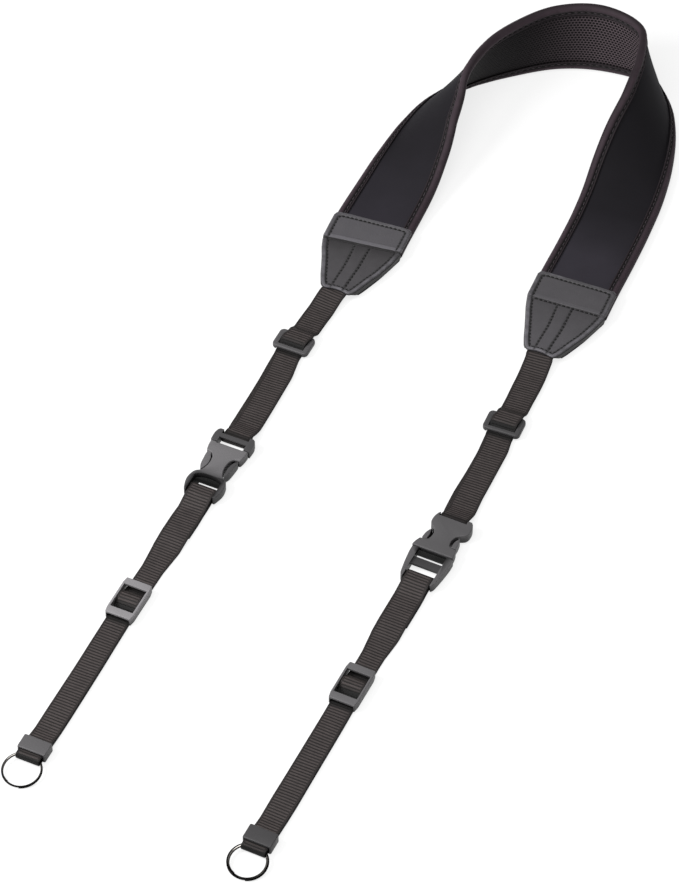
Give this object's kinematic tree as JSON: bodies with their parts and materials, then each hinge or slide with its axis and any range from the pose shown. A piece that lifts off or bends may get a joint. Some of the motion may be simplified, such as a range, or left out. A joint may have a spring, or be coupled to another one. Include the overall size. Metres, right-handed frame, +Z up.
{
  "type": "camera neck strap",
  "caption": "Padded camera neck strap lying open, with leather end patches, webbing legs, side-release buckles, adjusters and split rings.",
  "frame": {"origin": "on the surface that the strap lies on, under the middle of its bounding box", "axes": "+Z up; +Y towards the arch of the neck pad, along the legs; X across the two legs, +X at the right leg"},
  "size_m": [0.1954, 0.7078, 0.053],
  "materials": {
    "jersey": "matt smooth knit over foam",
    "mesh": "open spacer mesh",
    "tape": "matt woven tape",
    "leather": "satin, fine grain",
    "webbing": "ribbed woven webbing",
    "plastic": "satin moulded",
    "steel": "nickel plated wire"
  },
  "bodies": {
    "root": {"neck_pad": "jersey", "mesh_lining": "mesh", "binding_bottom": "tape", "binding_top": "tape", "left_end_patch": "leather", "left_upper_webbing": "webbing", "left_lower_webbing": "webbing", "left_slider": "plastic", "left_adjuster": "plastic", "left_keeper": "plastic", "left_buckle_male": "plastic", "left_buckle_female": "plastic", "left_split_ring": "steel", "right_end_patch": "leather", "right_upper_webbing": "webbing", "right_lower_webbing": "webbing", "right_slider": "plastic", "right_adjuster": "plastic", "right_keeper": "plastic", "right_buckle_male": "plastic", "right_buckle_female": "plastic", "right_split_ring": "steel"}
  },
  "joints": []
}
